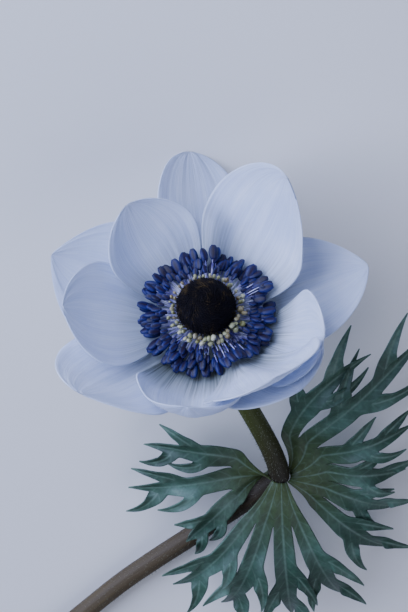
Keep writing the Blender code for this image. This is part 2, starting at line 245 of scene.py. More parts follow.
# %% One tepal as a coarse sheet of points
def tepal_sheet(rows, columns, sizes):
    """Rows of points from foot to tip, each row across the tepal's cupped section."""
    azimuth, level, length, width, rise, rise_tip, late, cup, roll, point, low, bend, twist = sizes
    foot = math.radians(azimuth)
    middle = Vector((FOOT_RADIUS * math.cos(foot), FOOT_RADIUS * math.sin(foot), level))
    section_radius = width / 2 / math.radians(cup)
    sheet, before, last = [], None, 0.0
    for i in range(rows):
        v = 1 - (1 - i / (rows - 1)) ** TIP_CROWDING
        climb = math.radians(rise + (rise_tip - rise) * v ** late)
        turn = math.radians(azimuth + bend * v)
        along = Vector((math.cos(climb) * math.cos(turn), math.cos(climb) * math.sin(turn),
                        math.sin(climb)))
        if before is not None:
            middle = middle + (along + before) * (length * (v - last) / 2)
        before, last = along, v
        across = Vector((-math.sin(turn), math.cos(turn), 0))
        front = along.cross(across)
        lean = math.radians(roll + twist * v)
        across, front = (across * math.cos(lean) + front * math.sin(lean),
                         front * math.cos(lean) - across * math.sin(lean))
        profile = max(0.0, math.sin(math.pi * v ** low)) ** point
        half = max(width / 2 * profile, CLAW_HALF_WIDTH * (1 - v) ** 2, TIP_HALF_WIDTH)
        arcs = [(2 * j / (columns - 1) - 1) * half / section_radius for j in range(columns)]
        sheet.append([middle + across * (section_radius * math.sin(a))
                      + front * (section_radius * (1 - math.cos(a))) for a in arcs])
    return sheet


def sheet_faces(rows, columns):
    """The four-sided faces of a grid of points."""
    return [(i * columns + j, (i + 1) * columns + j, (i + 1) * columns + j + 1, i * columns + j + 1)
            for i in range(rows - 1) for j in range(columns - 1)]


def sheet_tree(sheet):
    """A search tree over a sheet's faces, which finds the nearest place on it."""
    return BVHTree.FromPolygons([p for row in sheet for p in row], sheet_faces(len(sheet), len(sheet[0])))


# %% Laying each tepal over those behind it
def push_off(point, tree, sign):
    """How far a point must move to stand clear on one side of a sheet, and that sheet's face."""
    hit, normal, face, _ = tree.find_nearest(point, PUSH_REACH)
    if hit is None:
        return None
    away = point - hit
    side = away.dot(normal) * sign
    if (away - normal * side * sign).length > PUSH_EDGE or side > CLEARANCE:
        return None
    return normal * sign * (CLEARANCE - side), face


def spread(moves):
    """Shares each move with its neighbours, so a sheet bows instead of creasing."""
    shared = []
    for i, row in enumerate(moves):
        line = []
        for j, own in enumerate(row):
            near = [moves[a][b] for a in (i - 1, i, i + 1) for b in (j - 1, j, j + 1)
                    if 0 <= a < len(moves) and 0 <= b < len(row)]
            mean = sum(near, Vector()) / len(near)
            line.append(mean if mean.length > own.length else own.lerp(mean, 0.3))
        shared.append(line)
    return shared


def lay_over(sheet, behind):
    """The sheet, pushed forward in small rounds until it stands clear of those behind it."""
    others = [(sheet_tree(s), [p for row in s for p in row]) for s in behind]
    for _ in range(PUSH_ROUNDS):
        moves = [[Vector() for _ in range(COLUMNS)] for _ in range(ROWS)]
        own = sheet_tree(sheet)
        for tree, points in others:
            for i in range(ROWS):
                for j in range(COLUMNS):
                    push = push_off(sheet[i][j], tree, 1)
                    if push and push[0].length > moves[i][j].length:
                        moves[i][j] = push[0]
            for point in points:
                push = push_off(point, own, -1)
                if push:
                    i, j = divmod(push[1], COLUMNS - 1)
                    for a, b in ((i, j), (i + 1, j), (i + 1, j + 1), (i, j + 1)):
                        if push[0].length > moves[a][b].length:
                            moves[a][b] = -push[0]
        if not any(m.length > 0.01 for row in moves for m in row):
            break
        moves = spread(spread(moves))
        sheet = [[p + m * 0.7 for p, m in zip(prow, mrow)] for prow, mrow in zip(sheet, moves)]
    return sheet


SHEETS = {}
for name, sizes in TEPALS.items():
    SHEETS[name] = lay_over(tepal_sheet(ROWS, COLUMNS, sizes), list(SHEETS.values()))
print("laid", len(SHEETS), "tepals over one another")

# %% [markdown]
# ## The tepals' skin
# The coarse sheets are only a cage. The same walk with eight times as many steps draws the true
# outline, round tip and all, and a Catmull-Rom curve spreads the cage's pushes over it. Then comes
# what makes a petal look like one: shallow folds from foot to tip, and a rim that wavers.

# %% Refine a sheet and give it folds
FINER = 8
FINE_ROWS, FINE_COLUMNS = (ROWS - 1) * FINER + 1, (COLUMNS - 1) * FINER + 1
TEPAL_THICK = 0.32
FOLD_DEPTH = 0.13
RIM_WAVE = 0.3
RIM_GLOW = 0.22            # how far in from the margin the thin bright rim fades
FULL_WIDTH = 8.0           # where the sheet is narrower than this, folds and waves die away


def through(points, count):
    """Points on a Catmull-Rom curve through an array's first axis."""
    padded = np.concatenate([[2 * points[0] - points[1]], points, [2 * points[-1] - points[-2]]])
    place = np.linspace(0, len(points) - 1, count)
    start = np.minimum(place.astype(int), len(points) - 2)
    t = (place - start).reshape(-1, *([1] * (points.ndim - 1)))
    a, b, c, d = (padded[start + k] for k in range(4))
    return 0.5 * (2 * b + (c - a) * t + (2 * a - 5 * b + 4 * c - d) * t ** 2
                  + (3 * b - a - 3 * c + d) * t ** 3)


def fine_sheet(cage, sizes):
    """A fine array of points that follows the cage."""
    fine = np.array([[tuple(p) for p in row] for row in tepal_sheet(FINE_ROWS, FINE_COLUMNS, sizes)])
    moved = np.array([[tuple(p) for p in row] for row in cage]) - fine[::FINER, ::FINER]
    moved = through(moved, FINE_ROWS)
    return fine + through(moved.transpose(1, 0, 2), FINE_COLUMNS).transpose(1, 0, 2)


def fold(fine, seed):
    """The sheet with lengthwise folds, a groove down its middle and a wavering rim."""
    normal = np.cross(np.gradient(fine, axis=0), np.gradient(fine, axis=1))
    normal /= np.linalg.norm(normal, axis=2, keepdims=True) + 1e-12
    u = np.linspace(-1, 1, FINE_COLUMNS)[None, :]
    v = np.linspace(0, 1, FINE_ROWS)[:, None]
    rng = np.random.default_rng(seed)
    folds = np.zeros((FINE_ROWS, FINE_COLUMNS))
    for waves in (3, 5, 8, 13, 21):
        drift, phase = rng.uniform(-0.1, 0.1), rng.uniform(0, 2 * math.pi)
        folds += np.cos(math.pi * waves * (u + drift * v) + phase) / waves ** 0.7
    groove = -0.3 * np.exp(-(u / 0.06) ** 2) * (1 - v) ** 1.5 * np.clip(v * 6, 0, 1)
    rim = np.maximum(np.abs(u) ** 10, v ** 14 * np.ones_like(u)) * np.clip(v * 2.5 - 0.5, 0, 1)
    wave = sum(np.sin(math.pi * k * (v + 0.7 * u) + rng.uniform(0, 2 * math.pi)) / k for k in (2, 3, 5, 8))
    wide = np.linalg.norm(fine[:, :1] - fine[:, -1:], axis=2) / FULL_WIDTH
    lift = (folds * FOLD_DEPTH + groove + rim * wave * RIM_WAVE) * np.clip(wide, 0, 1)
    return fine + normal * lift[..., None]


def rim_glow(fine, length):
    """A number for each point that is 1 on the margin and fades inwards."""
    side = 1 - np.abs(np.linspace(-1, 1, FINE_COLUMNS))[None, :]
    half = np.linalg.norm(fine[:, :1] - fine[:, -1:], axis=2) / 2
    tip = (1 - np.linspace(0, 1, FINE_ROWS)[:, None]) ** TIP_CROWDING * length
    return np.exp(-np.minimum(side * half, tip) / RIM_GLOW)


# %% Build the tepal meshes
# how strong the grey-green foot and the dark veins are on each tepal. They are strongest where the stamens'
# shadow falls, so partly painted shade
STAMEN_SHADE_AND_VEINS = {"tepal_inner_upper": 0.9, "tepal_inner_upper_right": 0.75, "tepal_inner_right": 0.85,
          "tepal_outer_upper_left": 0.45, "tepal_outer_right": 0.35}
FAINT_VEINS = 0.3


def tepal_mesh(name, cage, number):
    """One tepal: its fine sheet, with a UV map and its marks, given a thickness."""
    fine = fold(fine_sheet(cage, TEPALS[name]), number + 11)
    points = [in_head(Vector(p)) for p in fine.reshape(-1, 3)]
    mesh = mesh_from(name, points, sheet_faces(FINE_ROWS, FINE_COLUMNS))
    uv = mesh.uv_layers.new(name="petal")
    u, v = np.meshgrid(np.linspace(0, 1, FINE_COLUMNS), np.linspace(0, 1, FINE_ROWS))
    flat = np.stack([u + number, v], -1).reshape(-1, 2)
    corner = np.zeros(len(mesh.loops), np.int32)
    mesh.loops.foreach_get("vertex_index", corner)
    uv.data.foreach_set("uv", flat[corner].ravel())
    for label, values in (("veins", np.full(len(points), STAMEN_SHADE_AND_VEINS.get(name, FAINT_VEINS))),
                          ("rim", rim_glow(fine, TEPALS[name][2]).ravel())):
        mark(mesh, label, values.astype(np.float32))
    holder = hold(mesh)
    wall = holder.modifiers.new("wall", "SOLIDIFY")
    wall.thickness, wall.offset = TEPAL_THICK * MM, 0.0
    return bake(holder, name)


# %% [markdown]
# ## Petal material
# A petal is a thin wet skin over air: light scatters in it and some comes through, so it glows
# where another petal isn't behind it. It is a matte Principled surface mixed with a Translucent one.
# Fine lengthwise streaks follow the petal's own UV map. Towards the foot the white turns grey-green
# and dark veins fan out between the stamens. Both are strongest on the tepals where the stamens' shadow
# falls, so there they are partly painted shade.

# %% Petal skin
PETAL_GLOW = 0.38          # how much of the skin's light comes through it


def petal_skin():
    """Petal skin is grown, not made: a layer of low cone-shaped cells over air. To the eye it is matte,
    with a faint silky sheen, fine streaks from foot to tip, and light that comes through from behind."""
    made, tree, shader = new_material("petal_skin", Roughness=0.5, Sheen_Weight=0.2, Sheen_Roughness=0.4)
    place = add_node(tree, "ShaderNodeUVMap", uv_map="petal")
    along = add_node(tree, "ShaderNodeSeparateXYZ", {0: place}).outputs["Y"]
    streaks = []
    # streaks to a petal, across and along. A petal is about 30 mm wide and 38 mm long, so they are
    # 0.27, 2.1 and 0.5 mm wide: the fine grain, broad lengthwise tints, and the veins
    for across, length, detail in ((110, 3.0, 3), (14, 1.2, 2), (60, 1.0, 2)):
        drawn = add_node(tree, "ShaderNodeMapping", {"Vector": place, "Scale": (across, length, 1)})
        streaks.append(add_node(tree, "ShaderNodeTexNoise",
                                {"Vector": drawn, "Scale": 1.0, "Detail": detail}))
    fine, broad, veins = streaks
    body = add_node(tree, "ShaderNodeTexCoord").outputs["Object"]
    cloud = add_node(tree, "ShaderNodeTexNoise",
                     {"Vector": body, "Scale": texture_scale(12.5), "Detail": 4.0})
    base = add_node(tree, "ShaderNodeValToRGB", {0: broad},
                    stops=((0.25, "C4CDE8"), (0.5, "D9E1F5"), (0.75, "EBF0FD")))
    for factor, source, stops in ((0.4, fine, ((0.3, "BEC8E0"), (0.62, "F2F5FC"))),
                                  (0.3, cloud, ((0.35, "C6CFE4"), (0.7, "F6F8FD")))):
        tint = add_node(tree, "ShaderNodeValToRGB", {0: source}, stops=stops)
        base = add_node(tree, "ShaderNodeMix", {0: factor, 6: base, 7: tint}, data_type="RGBA")
    # towards the foot: grey-green ground, then dark veins drawn out by the same streaks. Both are stronger
    # on the tepals where the stamens' shadow falls: partly painted shade
    own = add_node(tree, "ShaderNodeAttribute", attribute_name="veins").outputs["Fac"]
    ground = add_node(tree, "ShaderNodeMapRange", {0: along, 1: 0.46, 2: 0.2, 4: 0.9})
    ground = add_node(tree, "ShaderNodeMath", {0: ground, 1: own}, operation="MULTIPLY")
    base = add_node(tree, "ShaderNodeMix", {0: ground, 6: base, 7: colour("888E7E")}, data_type="RGBA")
    reach = add_node(tree, "ShaderNodeMapRange", {0: along, 1: 0.66, 2: 0.25, 3: -0.35, 4: 0.4})
    dark = add_node(tree, "ShaderNodeMath", {0: reach, 1: veins}, operation="ADD")
    dark = add_node(tree, "ShaderNodeMapRange", {0: dark, 1: 0.62, 2: 1.1})
    dark = add_node(tree, "ShaderNodeMath", {0: dark, 1: own}, operation="MULTIPLY")
    base = add_node(tree, "ShaderNodeMix", {0: dark, 6: base, 7: colour("565C50")}, data_type="RGBA")
    # the rim is thinner and catches the light: its paler colour is a painted highlight
    rim = add_node(tree, "ShaderNodeAttribute", attribute_name="rim").outputs["Fac"]
    uneven = add_node(tree, "ShaderNodeMapRange", {0: cloud, 1: 0.35, 2: 0.65, 3: 0.05, 4: 0.3})
    rim = add_node(tree, "ShaderNodeMath", {0: rim, 1: uneven}, operation="MULTIPLY")
    base = add_node(tree, "ShaderNodeMix", {0: rim, 6: base, 7: colour("F4F8FF")}, data_type="RGBA")
    relief = add_node(tree, "ShaderNodeMath", {0: fine, 1: veins}, operation="ADD")
    bump = add_node(tree, "ShaderNodeBump", {"Height": relief, "Strength": 0.5, "Distance": 0.00016})
    plug(tree, shader, base, bump)
    glow = add_node(tree, "ShaderNodeBsdfTranslucent", {"Color": base, "Normal": bump})
    both = add_node(tree, "ShaderNodeMixShader", {0: PETAL_GLOW, 1: shader, 2: glow})
    tree.links.new(both.outputs[0], tree.nodes["Material Output"].inputs["Surface"])
    return made


PETAL_SKIN = petal_skin()
for number, (name, sheet) in enumerate(SHEETS.items()):
    show(name + "_petal", tepal_mesh(name, sheet, number), PETAL_SKIN, [name])
print("made", len(SHEETS), "petals of", FINE_ROWS, "by", FINE_COLUMNS, "points")

# %% [markdown]
# ## Geometry Nodes in a script
# A tree is built once with named inputs, put on an object as a modifier, and its inputs are set by
# their identifiers. The result is turned to a plain mesh, so nothing is left to compute later.


# %% Geometry Nodes helpers
def new_tree(name, **sizes):
    """A geometry tree with a Geometry input and output, and a float, object or material for each size."""
    tree = bpy.data.node_groups.new(name, "GeometryNodeTree")
    tree.interface.new_socket("Geometry", in_out="INPUT", socket_type="NodeSocketGeometry")
    for label, kind in sizes.items():
        tree.interface.new_socket(label, in_out="INPUT", socket_type="NodeSocket" + kind)
    tree.interface.new_socket("Geometry", in_out="OUTPUT", socket_type="NodeSocketGeometry")
    return tree, add_node(tree, "NodeGroupInput").outputs


def finish_tree(tree, geometry, material):
    """Ends a tree: makes instances real, sets the material and gives the output."""
    real = add_node(tree, "GeometryNodeRealizeInstances", {0: geometry})
    dressed = add_node(tree, "GeometryNodeSetMaterial", {0: real, "Material": material})
    add_node(tree, "NodeGroupOutput", {0: dressed})


def grow(data, tree, name, **sizes):
    """Runs a tree on data with its inputs set, and returns the plain mesh it makes."""
    holder = hold(data)
    modifier = holder.modifiers.new(name, "NODES")
    modifier.node_group = tree
    names = {item.name: item.identifier for item in tree.interface.items_tree if item.in_out == "INPUT"}
    for label, value in sizes.items():
        modifier[names[label]] = value
    return bake(holder, name)


def body_faces(rings, steps):
    """Faces between rings of points, and the two end rings filled."""
    faces = [(r * steps + k, r * steps + (k + 1) % steps,
              (r + 1) * steps + (k + 1) % steps, (r + 1) * steps + k)
             for r in range(rings - 1) for k in range(steps)]
    return faces + [tuple(range(steps))[::-1], tuple((rings - 1) * steps + k for k in range(steps))]


# %% [markdown]
# ## Receptacle and carpel head
# The receptacle is the stem's swollen top, and the tepals and stamens grow from its side. The carpel
# head is a dome of hundreds of tiny carpels, each with a short dark style. They stand in the spiral
# that plants use: each new one is turned by the golden angle from the last. The styles are combed
# sideways round the dome, which gives it its whorled grain.

# %% Receptacle
SMOOTH_STEPS = 48


def turned_mesh(name, profile):
    """A body of revolution that keeps how far round and how far along each point is, as the stem does."""
    points = [in_head(p) for p in ring_points(profile, SMOOTH_STEPS)]
    mesh = mesh_from(name, points, body_faces(len(profile), SMOOTH_STEPS))
    around = [abs(2 * k / SMOOTH_STEPS - 1) for _ in profile for k in range(SMOOTH_STEPS)]
    along = [r / len(profile) * 0.1 for r in range(len(profile)) for _ in range(SMOOTH_STEPS)]
    mark(mesh, "around", around)
    mark(mesh, "along", along)
    return mesh


def plant_green():
    """Stem skin is a grown green rind that ages to brown, ridged by the strands under it. To the eye it
    is matte, streaked lengthwise, green under the head and brown towards the cut."""
    made, tree, shader = new_material("stem_skin", Roughness=0.6, Specular_IOR_Level=0.3)
    height = add_node(tree, "ShaderNodeAttribute", attribute_name="along").outputs["Fac"]
    around = add_node(tree, "ShaderNodeAttribute", attribute_name="around").outputs["Fac"]
    place = add_node(tree, "ShaderNodeCombineXYZ", {"X": around, "Y": height})
    # half the stem's girth is 8.8 mm and its length 162 mm, so a streak is 0.3 mm wide and 12 mm long
    drawn = add_node(tree, "ShaderNodeMapping", {"Vector": place, "Scale": (30, 14, 1)})
    lines = add_node(tree, "ShaderNodeTexNoise", {"Vector": drawn, "Scale": 1.0, "Detail": 4.0})
    base = add_node(tree, "ShaderNodeValToRGB", {0: height},
                    stops=((0.0, "64702E"), (0.2, "50581F"), (0.33, "3A351A"), (0.4, "30271C"),
                           (0.5, "4C3D2A"), (1.0, "604F38")))
    ridge = add_node(tree, "ShaderNodeValToRGB", {0: lines}, stops=((0.3, "2A2C1C"), (0.7, "848A52")))
    base = add_node(tree, "ShaderNodeMix", {0: 0.45, 6: base, 7: ridge}, data_type="RGBA",
                    blend_type="OVERLAY")
    bump = add_node(tree, "ShaderNodeBump", {"Height": lines, "Strength": 0.5, "Distance": 0.0002})
    plug(tree, shader, base, bump)
    return made


STEM_SKIN = plant_green()
trimmed = [(max(r, 0.02), z) for r, z in RECEPTACLE]
show("receptacle_skin", turned_mesh("receptacle_skin", trimmed), STEM_SKIN, ["receptacle"])

# %% Carpel head: a dome and its styles
STYLES = 1100
GOLDEN = math.pi * (3 - math.sqrt(5))
CORE_INSET = 0.55
DOME_FOOT, DOME_RADIUS = 9.7, 7.55
STYLE_LONG, STYLE_THICK, STYLE_CURL = 0.8, 0.14, 0.25


def dome_place(share):
    """A point on the dome and the way out of it; share 0 is the foot, 1 the top."""
    angle = math.asin(share)
    tall = CARPEL_HEAD[-1][1] - DOME_FOOT
    return (Vector(((DOME_RADIUS - CORE_INSET) * math.cos(angle), 0,
                    DOME_FOOT + (tall - CORE_INSET) * math.sin(angle))),
            Vector((math.cos(angle), 0, math.sin(angle))))


def style_seeds():
    """Points on the dome, each with the way its style leans: out, and combed round the dome."""
    points, ways = [], []
    for k in range(STYLES):
        point, out = dome_place((k + 0.5) / STYLES)
        spin = Matrix.Rotation(k * GOLDEN, 4, "Z")
        comb = Vector((0.15 * math.sin(k * 0.7), 1.0, 0.0))
        points.append(tuple(in_head(spin @ point)))
        ways.append(tuple((HEAD_TURN @ (spin @ (out * 0.75 + comb))).normalized()))
    seeds = bpy.data.meshes.new("style_seeds")
    seeds.from_pydata(points, [], [])
    seeds.attributes.new("way", "FLOAT_VECTOR", "POINT").data.foreach_set("vector", np.ravel(ways))
    return seeds


def stand_out(tree, given, form, points, way, stray, sizes, seeds):
    """Ends a tree with a form on each point. Each leans a stray way off its own, at a size of its own."""
    lean = add_node(tree, "FunctionNodeRandomValue", {0: (-stray,) * 3, 1: (stray,) * 3, "Seed": seeds[0]},
                    data_type="FLOAT_VECTOR")
    way = add_node(tree, "ShaderNodeVectorMath", {0: way, 1: lean}, operation="ADD")
    turn = add_node(tree, "FunctionNodeAlignRotationToVector", {"Vector": way}, axis="Z")
    size = add_node(tree, "FunctionNodeRandomValue", {2: sizes[0], 3: sizes[1], "Seed": seeds[1]},
                    data_type="FLOAT")
    size = add_node(tree, "ShaderNodeMath", {0: size, 1: given["Size"]}, operation="MULTIPLY")
    shape = add_node(tree, "GeometryNodeObjectInfo", {"Object": form}).outputs["Geometry"]
    made = add_node(tree, "GeometryNodeInstanceOnPoints",
                    {"Points": points, "Instance": shape, "Rotation": turn, "Scale": size})
    finish_tree(tree, made, given["Material"])
    return tree


def styles_tree():
    """A style on each seed point, leaning the way the seed keeps."""
    tree, given = new_tree("styles", Style="Object", Size="Float", Material="Material")
    way = add_node(tree, "GeometryNodeInputNamedAttribute", {"Name": "way"}, data_type="FLOAT_VECTOR")
    return stand_out(tree, given, given["Style"], given["Geometry"], way, 0.3, (0.75, 1.25), (3, 5))


def bent_spike(name, length, thick, curl, rings=4, steps=5):
    """A small tapering spike that curls to one side, its "tip" attribute running from 0 to 1."""
    points = []
    for r in range(rings):
        t = r / (rings - 1)
        radius = thick * (1 - t) ** 0.6 + thick * 0.15
        for k in range(steps):
            angle = 2 * math.pi * k / steps
            points.append((radius * math.cos(angle) + curl * t * t, radius * math.sin(angle), length * t))
    form = hold(mesh_from(name, [Vector(p) * MM for p in points], body_faces(rings, steps)))
    share = [r / (rings - 1) for r in range(rings) for _ in range(steps)]
    mark(form.data, "tip", share)
    form.data.shade_smooth()
    return form


def carpel_dark():
    """Carpel bristle is a dense growth of dry, hair-like styles. To the eye it is nearly black and dull,
    for light is lost between the styles. The gold-brown on some style tips is painted glints. Tints vary
    over 2 and 6.7 mm patches."""
    made, tree, shader = new_material("carpel_bristle", Roughness=0.75, Specular_IOR_Level=0.12)
    place = add_node(tree, "ShaderNodeTexCoord").outputs["Object"]
    grain = add_node(tree, "ShaderNodeTexNoise",
                     {"Vector": place, "Scale": texture_scale(2.0), "Detail": 2.0})
    patch = add_node(tree, "ShaderNodeTexNoise",
                     {"Vector": place, "Scale": texture_scale(6.667), "Detail": 2.0})
    tip = add_node(tree, "ShaderNodeAttribute", attribute_name="tip").outputs["Fac"]
    base = add_node(tree, "ShaderNodeValToRGB", {0: patch}, stops=((0.4, "07040C"), (0.65, "0C0709")))
    # painted glints: gold-brown on the style tips, where the 2 mm grain is high
    gold = add_node(tree, "ShaderNodeValToRGB", {0: grain},
                    stops=((0.45, "0D0810"), (0.56, "1E1711"), (0.7, "544326")))
    base = add_node(tree, "ShaderNodeMix", {0: tip, 6: base, 7: gold}, data_type="RGBA")
    plug(tree, shader, base)
    return made


CARPEL_DARK = carpel_dark()
spike = bent_spike("style_form", STYLE_LONG, STYLE_THICK, STYLE_CURL)
styles = grow(style_seeds(), styles_tree(), "styles", Style=spike, Size=1.0, Material=CARPEL_DARK)
bpy.data.objects.remove(spike)
# the profile drawn in, so that the styles stand on it and don't make the dome larger
core = [(max(r - CORE_INSET if z > 7.2 else r - 0.2, 0.02),
         z if z < 9 else z - CORE_INSET * (z - 9) / 8) for r, z in CARPEL_HEAD]
show("carpel_core", turned_mesh("carpel_core", core), CARPEL_DARK, ["carpel_head"])
show("carpel_styles", styles, CARPEL_DARK, [])
print("set", STYLES, "styles on the carpel head:", len(styles.polygons), "faces")

# %% [markdown]
# ## Stamens
# A stamen is a thin filament with a pollen sac, the anther, at its end. There are well over a hundred,
# in rows round the carpel head: big sacs in the outer row, smaller ones further in, and a starburst
# of pale filaments between. Each filament is a curve from the receptacle out over the tepals. One
# tree gives the curves their thickness, and a second sets an anther on the end of each, its flat
# side turned to the front.

# %% Filament curves
# how many, nearest and furthest reach of the tip, height, foot height, anther length
STAMEN_ROWS = ((66, 16.5, 17.5, 5.4, 3.6, 3.8), (60, 14.9, 16.1, 6.6, 4.2, 3.4),
               (50, 13.2, 14.4, 7.4, 4.7, 2.8), (36, 11.7, 12.9, 8.0, 5.1, 2.1))
FILAMENT_FOOT = 4.3
STAMEN_LIFT = 1.2
FILAMENT_POINTS = 9
SWING = 0.08


def tepal_height(trees, x, y):
    """Height of the front-most tepal at a place on the head, or 0 where there is none."""
    hits = [tree.ray_cast(Vector((x, y, 60.0)), Vector((0, 0, -1)))[0] for tree in trees]
    return max([h.z for h in hits if h is not None], default=0.0)


def curve_of(name, lines, sizes):
    """A curve with a spline for each line; a spline's size is kept in its points' radius."""
    curve = bpy.data.curves.new(name, "CURVE")
    curve.dimensions = "3D"
    for line, size in zip(lines, sizes):
        spline = curve.splines.new("POLY")
        spline.points.add(len(line) - 1)
        for knot, point in zip(spline.points, line):
            knot.co = (*in_head(point), 1.0)
            knot.radius = size
    return curve


def filament_lines():
    """A line of points for each filament, and a size for the anther on its end."""
    rng = random.Random(21)
    trees = [sheet_tree(s) for s in SHEETS.values()]
    lines, sizes = [], []
    for count, near, far, height, foot, long in STAMEN_ROWS:
        for k in range(count):
            angle = 2 * math.pi * (k + rng.uniform(-0.28, 0.28)) / count
            size = long / ANTHER_LONG * rng.uniform(0.82, 1.08)
            reach = rng.uniform(near, far) - size * ANTHER_LONG * 0.8
            swing = rng.uniform(-SWING, SWING)
            under = max(tepal_height(trees, r * math.cos(angle), r * math.sin(angle))
                        for r in (reach - 3, reach, reach + long / 2, reach + long))
            top = max(height + rng.uniform(-0.5, 1.0), under + STAMEN_LIFT + rng.uniform(0, 0.5))
            line = []
            for i in range(FILAMENT_POINTS):
                t = i / (FILAMENT_POINTS - 1)
                r = FILAMENT_FOOT + (reach - FILAMENT_FOOT) * t
                a = angle + swing * t * t
                z = foot + (top - foot) * math.sin(t * math.pi / 2 * 0.92)
                line.append(Vector((r * math.cos(a), r * math.sin(a), z)))
            lines.append(line)
            sizes.append(size)
    return lines, sizes


def filament_tree():
    """A tube along each curve, thinner towards its end, which keeps how far along each point is."""
    tree, given = new_tree("filaments", Radius="Float", Material="Material")
    share = add_node(tree, "GeometryNodeSplineParameter").outputs["Factor"]
    taper = add_node(tree, "ShaderNodeMapRange", {0: share, 3: 1.25, 4: 0.75})
    marked = add_node(tree, "GeometryNodeStoreNamedAttribute",
                      {0: given["Geometry"], "Name": "tip", "Value": share},
                      data_type="FLOAT", domain="POINT")
    ring = add_node(tree, "GeometryNodeCurvePrimitiveCircle", {"Resolution": 6, "Radius": given["Radius"]})
    tube = add_node(tree, "GeometryNodeCurveToMesh",
                    {0: marked, 1: ring, "Scale": taper, "Fill Caps": True})
    finish_tree(tree, tube, given["Material"])
    return tree


# %% Anther form
ANTHER_LONG = 3.6
ANTHER_WIDE, ANTHER_DEEP = 1.12, 0.75


def sac_form(name, long, wide, deep, rings, steps):
    """Two pollen sacs side by side; its "groove" attribute is 1 along the furrow between them."""
    points, groove = [], []
    for r in range(rings):
        t = r / (rings - 1)
        girth = math.sin(math.pi * (0.05 + 0.9 * t)) ** 0.42
        for k in range(steps):
            angle = 2 * math.pi * k / steps
            furrow = abs(math.sin(angle)) ** 6
            dent = 1 - 0.38 * furrow
            points.append(Vector((wide * girth * dent * math.cos(angle),
                                  deep * girth * dent * math.sin(angle), (t - 0.2) * long)) * MM)
            groove.append(furrow * girth)
    form = hold(mesh_from(name, points, body_faces(rings, steps)))
    mark(form.data, "groove", groove)
    form.data.shade_smooth()
    return form


def anther_tree():
    """An anther on the end of each curve, turned to the front and rolled a little."""
    tree, given = new_tree("anthers", Anther="Object", Front="Vector", Roll="Float", Material="Material")
    form = add_node(tree, "GeometryNodeObjectInfo", {"Object": given["Anther"]})
    ends = add_node(tree, "GeometryNodeCurveEndpointSelection", {"Start Size": 0, "End Size": 1})
    stray = add_node(tree, "FunctionNodeRandomValue", {0: (-0.22,) * 3, 1: (0.22,) * 3, "Seed": 8},
                     data_type="FLOAT_VECTOR")
    tangent = add_node(tree, "GeometryNodeInputTangent")
    way = add_node(tree, "ShaderNodeVectorMath", {0: tangent, 1: stray}, operation="ADD")
    turn = add_node(tree, "FunctionNodeAxesToRotation", {0: way, 1: given["Front"]},
                    primary_axis="Z", secondary_axis="Y")
    back = add_node(tree, "ShaderNodeMath", {0: given["Roll"], 1: -1.0}, operation="MULTIPLY")
    roll = add_node(tree, "FunctionNodeRandomValue", {2: back, 3: given["Roll"], "Seed": 9},
                    data_type="FLOAT")
    spin = add_node(tree, "FunctionNodeAxisAngleToRotation", {"Axis": (0, 0, 1), "Angle": roll})
    turn = add_node(tree, "FunctionNodeRotateRotation", {"Rotation": turn, "Rotate By": spin},
                    rotation_space="LOCAL")
    size = add_node(tree, "GeometryNodeInputRadius")
    made = add_node(tree, "GeometryNodeInstanceOnPoints",
                    {"Points": given["Geometry"], "Selection": ends, "Instance": form.outputs["Geometry"],
                     "Rotation": turn, "Scale": size})
    tone = add_node(tree, "FunctionNodeRandomValue", {2: 0.0, 3: 1.0, "Seed": 12}, data_type="FLOAT")
    marked = add_node(tree, "GeometryNodeStoreNamedAttribute", {0: made, "Name": "tone", "Value": tone},
                      data_type="FLOAT", domain="INSTANCE")
    finish_tree(tree, marked, given["Material"])
    return tree


# %% Stamen materials and pieces
def filament_skin():
    """A filament is a grown thread, smooth and a little clear. To the eye it is pale lilac with darker
    lengths every few millimetres, and it darkens to the anther's blue at its end."""
    made, tree, shader = new_material("filament_skin", Roughness=0.45)
    tip = add_node(tree, "ShaderNodeAttribute", attribute_name="tip").outputs["Fac"]
    place = add_node(tree, "ShaderNodeTexCoord").outputs["Object"]
    vary = add_node(tree, "ShaderNodeTexNoise",
                    {"Vector": place, "Scale": texture_scale(2.381), "Detail": 2.0})
    base = add_node(tree, "ShaderNodeValToRGB", {0: vary},
                    stops=((0.36, "5E54A8"), (0.47, "B4ABDC"), (0.62, "ECE8FA")))
    far = add_node(tree, "ShaderNodeMapRange", {0: tip, 1: 0.75, 2: 1.0, 4: 0.75})
    base = add_node(tree, "ShaderNodeMix", {0: far, 6: base, 7: colour("3E3A86")}, data_type="RGBA")
    plug(tree, shader, base)
    return made


